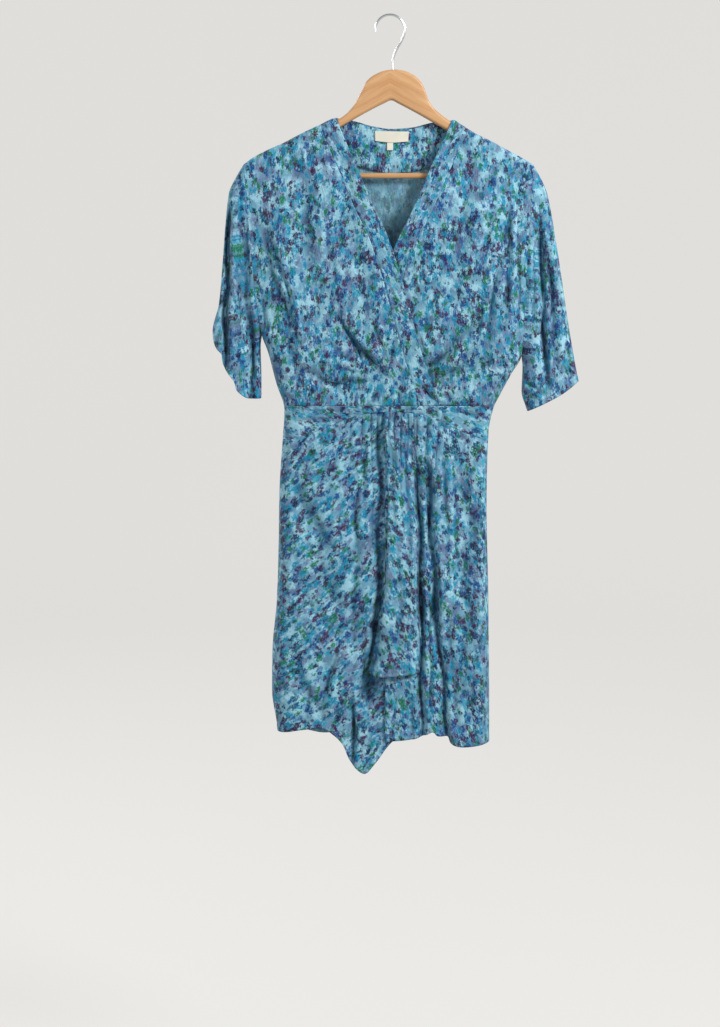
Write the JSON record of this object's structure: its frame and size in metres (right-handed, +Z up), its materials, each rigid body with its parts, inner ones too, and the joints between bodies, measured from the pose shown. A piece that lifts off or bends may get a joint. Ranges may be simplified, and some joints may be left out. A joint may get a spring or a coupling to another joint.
{
  "type": "wrap dress on a hanger",
  "caption": "Knee-length wrap dress with V neck, elbow sleeves, gathered waistband and draped skirt, hanging flat on a wooden hanger.",
  "frame": {"origin": "inner top of the hanger's hook, where a rail or peg carries it", "axes": "+X to the right of someone who faces the dress's front, -Y out of its front, +Z up"},
  "size_m": [0.5432, 0.0707, 1.1254],
  "materials": {
    "printed_viscose": "soft matt crinkled viscose, small blurred flower print",
    "label_tape": "plain cream woven tape",
    "beech": "satin lacquered beech",
    "hook_steel": "polished plated wire"
  },
  "bodies": {
    "root": {"bodice_front_over": "printed_viscose", "neck_band_over": "printed_viscose", "bodice_front_under": "printed_viscose", "neck_band_under": "printed_viscose", "bodice_back": "printed_viscose", "back_neck_facing": "printed_viscose", "neck_label": "label_tape", "size_tab": "label_tape", "sleeve_left": "printed_viscose", "sleeve_right": "printed_viscose", "waistband_front": "printed_viscose", "waistband_back": "printed_viscose", "skirt_front_left": "printed_viscose", "skirt_front_right": "printed_viscose", "skirt_front_flap": "printed_viscose", "skirt_back": "printed_viscose", "hanger_body": "beech", "hanger_bar": "beech", "hanger_hook": "hook_steel"}
  },
  "joints": []
}
